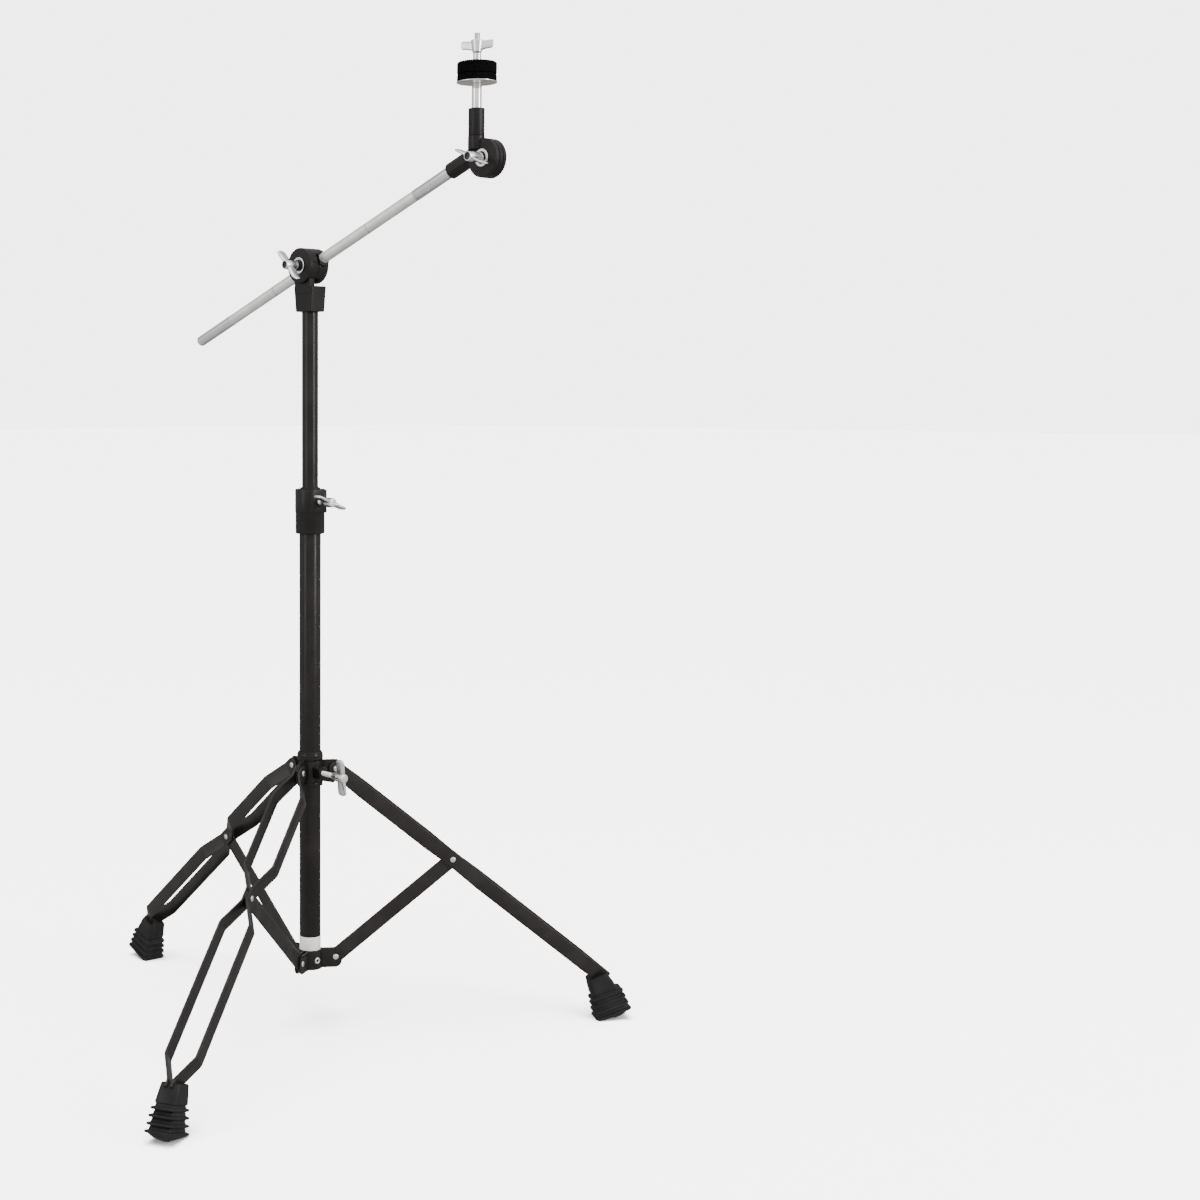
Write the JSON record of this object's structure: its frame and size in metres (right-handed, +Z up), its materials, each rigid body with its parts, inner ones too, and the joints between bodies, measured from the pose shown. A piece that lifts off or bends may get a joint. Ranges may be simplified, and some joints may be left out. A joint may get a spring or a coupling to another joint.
{
  "type": "cymbal boom stand",
  "caption": "Black folding tripod stand with a telescoping tube, a tilting knurled boom arm and a cymbal post with felts and wing nut.",
  "frame": {"origin": "on the base tube's axis at floor level, midway between the three feet", "axes": "+Z up along the tube, +X the way the boom arm reaches out and up, so both tilters turn about axes along Y and their wing nuts face -Y"},
  "size_m": [0.7024, 0.7003, 1.139],
  "materials": {
    "black_powder": "satin black powder coat",
    "black_casting": "satin black paint on a die casting",
    "black_sleeve": "matt black sleeve",
    "nylon": "black nylon",
    "label_white": "plain white band",
    "chrome": "bright chrome",
    "zinc": "zinc plated",
    "foot_rubber": "matt black ribbed rubber",
    "felt": "dense black felt"
  },
  "bodies": {
    "base": {"base_tube": "black_powder", "label_band": "label_white", "leg_bracket": "black_powder", "brace_pivot_rivets": "zinc", "bracket_band_rivets": "zinc", "height_clamp": "black_casting", "height_clamp_nut": "zinc"},
    "height_bolt": {"height_wing_bolt": "chrome"},
    "swivel_bush": {"height_bush": "nylon"},
    "upper": {"upper_tube": "black_powder", "tilter_base": "black_casting", "tilter_base_pin": "zinc"},
    "arm_clamp": {"tilter_clamp": "black_casting", "tilter_eye_bolt": "chrome", "tilter_washer": "chrome"},
    "lower_nut": {"tilter_wing_nut": "chrome"},
    "arm": {"boom_arm": "chrome"},
    "arm_end": {"arm_end_casting": "black_casting", "top_tilter_bolt": "chrome", "top_tilter_washer": "chrome"},
    "top_nut": {"top_wing_nut": "chrome"},
    "post": {"post_casting": "black_casting", "post_sleeve": "black_sleeve", "post_rod": "chrome", "cup_washer": "zinc", "lower_felt": "felt"},
    "felt_lift": {"upper_felt": "felt"},
    "cymbal_nut": {"cymbal_wing_nut": "chrome"},
    "collar": {"leg_collar": "black_powder", "collar_bush": "nylon", "collar_nut": "zinc", "collar_pivot_rivets": "zinc"},
    "collar_bolt": {"collar_wing_bolt": "chrome"},
    "brace_a": {"brace_a": "black_powder"},
    "leg_a": {"leg_a_strap_left": "black_powder", "leg_a_strap_right": "black_powder", "leg_a_foot": "foot_rubber", "leg_a_rivet": "zinc"},
    "brace_b": {"brace_b": "black_powder"},
    "leg_b": {"leg_b_strap_left": "black_powder", "leg_b_strap_right": "black_powder", "leg_b_foot": "foot_rubber", "leg_b_rivet": "zinc"},
    "brace_c": {"brace_c": "black_powder"},
    "leg_c": {"leg_c_strap_left": "black_powder", "leg_c_strap_right": "black_powder", "leg_c_foot": "foot_rubber", "leg_c_rivet": "zinc"}
  },
  "joints": [
    {"name": "leg_fold", "type": "hinge", "parent": "base", "child": "brace_c", "pos_m": [0.01775, 0.02517, 0.0898], "axis": [0.8171, -0.5764, 0], "range_deg": [-10, 43]},
    {"name": "brace_a_fold", "type": "hinge", "parent": "base", "child": "brace_a", "pos_m": [-0.03067, 0.00279, 0.0898], "axis": [0.0906, 0.9959, 0], "range_deg": [-12, 46]},
    {"name": "brace_b_fold", "type": "hinge", "parent": "base", "child": "brace_b", "pos_m": [0.01292, -0.02796, 0.0898], "axis": [-0.9078, -0.4195, 0], "range_deg": [-12, 46]},
    {"name": "leg_c_pivot", "type": "hinge", "parent": "brace_c", "child": "leg_c", "pos_m": [0.1003, 0.14218, 0.20534], "axis": [-0.8171, 0.5764, 0], "range_deg": [-24, 92]},
    {"name": "leg_a_pivot", "type": "hinge", "parent": "brace_a", "child": "leg_a", "pos_m": [-0.17328, 0.01577, 0.20534], "axis": [-0.0906, -0.9959, 0], "range_deg": [-24, 92]},
    {"name": "leg_b_pivot", "type": "hinge", "parent": "brace_b", "child": "leg_b", "pos_m": [0.07298, -0.15795, 0.20534], "axis": [0.9078, 0.4195, 0], "range_deg": [-24, 92]},
    {"name": "collar_pivot", "type": "hinge", "parent": "leg_c", "child": "collar", "pos_m": [0.01775, 0.02517, 0.32089], "axis": [0.8171, -0.5764, 0], "range_deg": [-13, 47]},
    {"name": "collar_bolt_turn", "type": "hinge", "parent": "collar", "child": "collar_bolt", "pos_m": [0.05477, -0.00498, 0.3194], "axis": [0.9959, -0.0906, 0], "range_deg": [0, 720]},
    {"name": "height_bolt_turn", "type": "hinge", "parent": "base", "child": "height_bolt", "pos_m": [0.03486, -0.00317, 0.641], "axis": [0.9959, -0.0906, 0], "range_deg": [0, 720]},
    {"name": "upper_swivel", "type": "hinge", "parent": "base", "child": "swivel_bush", "pos_m": [0, 0, 0.62], "axis": [0, 0, 1], "range_deg": [-180, 180]},
    {"name": "upper_height", "type": "slide", "parent": "swivel_bush", "child": "upper", "axis": [0, 0, 1], "range_m": [-0.2, 0.13]},
    {"name": "boom_tilt", "type": "hinge", "parent": "upper", "child": "arm_clamp", "pos_m": [0, -0.0045, 0.9143], "axis": [0, -1, 0], "range_deg": [-63, 20]},
    {"name": "lower_nut_turn", "type": "hinge", "parent": "arm_clamp", "child": "lower_nut", "pos_m": [0, -0.03, 0.9143], "axis": [0, -1, 0], "range_deg": [0, 720]},
    {"name": "boom_slide", "type": "slide", "parent": "arm_clamp", "child": "arm", "axis": [0.9291, 0, 0.3697], "range_m": [-0.21, 0.19]},
    {"name": "arm_roll", "type": "hinge", "parent": "arm", "child": "arm_end", "pos_m": [0.24343, 0.0024, 1.01117], "axis": [0.9291, 0, 0.3697], "range_deg": [-180, 180]},
    {"name": "top_tilt", "type": "hinge", "parent": "arm_end", "child": "post", "pos_m": [0.2832, -0.006, 1.0105], "axis": [0, -1, 0], "range_deg": [-180, 18]},
    {"name": "top_nut_turn", "type": "hinge", "parent": "arm_end", "child": "top_nut", "pos_m": [0.2832, -0.025, 1.0105], "axis": [0, -1, 0], "range_deg": [0, 720]},
    {"name": "cymbal_nut_lift", "type": "slide", "parent": "post", "child": "felt_lift", "axis": [0, 0, 1], "range_m": [0, 0.0205]},
    {"name": "cymbal_nut_spin", "type": "hinge", "parent": "felt_lift", "child": "cymbal_nut", "pos_m": [0.272, -0.011, 1.115], "axis": [0, 0, 1], "range_deg": [0, 7200]}
  ],
  "couplings": [
    {"joint": "brace_a_fold", "follows": "leg_fold", "ratio": 1},
    {"joint": "brace_b_fold", "follows": "leg_fold", "ratio": 1},
    {"joint": "collar_pivot", "follows": "leg_fold", "ratio": 1},
    {"joint": "leg_c_pivot", "follows": "leg_fold", "ratio": 2},
    {"joint": "leg_a_pivot", "follows": "leg_fold", "ratio": 2},
    {"joint": "leg_b_pivot", "follows": "leg_fold", "ratio": 2},
    {"joint": "cymbal_nut_lift", "follows": "cymbal_nut_spin", "m_per_rad": 0.00015915}
  ]
}
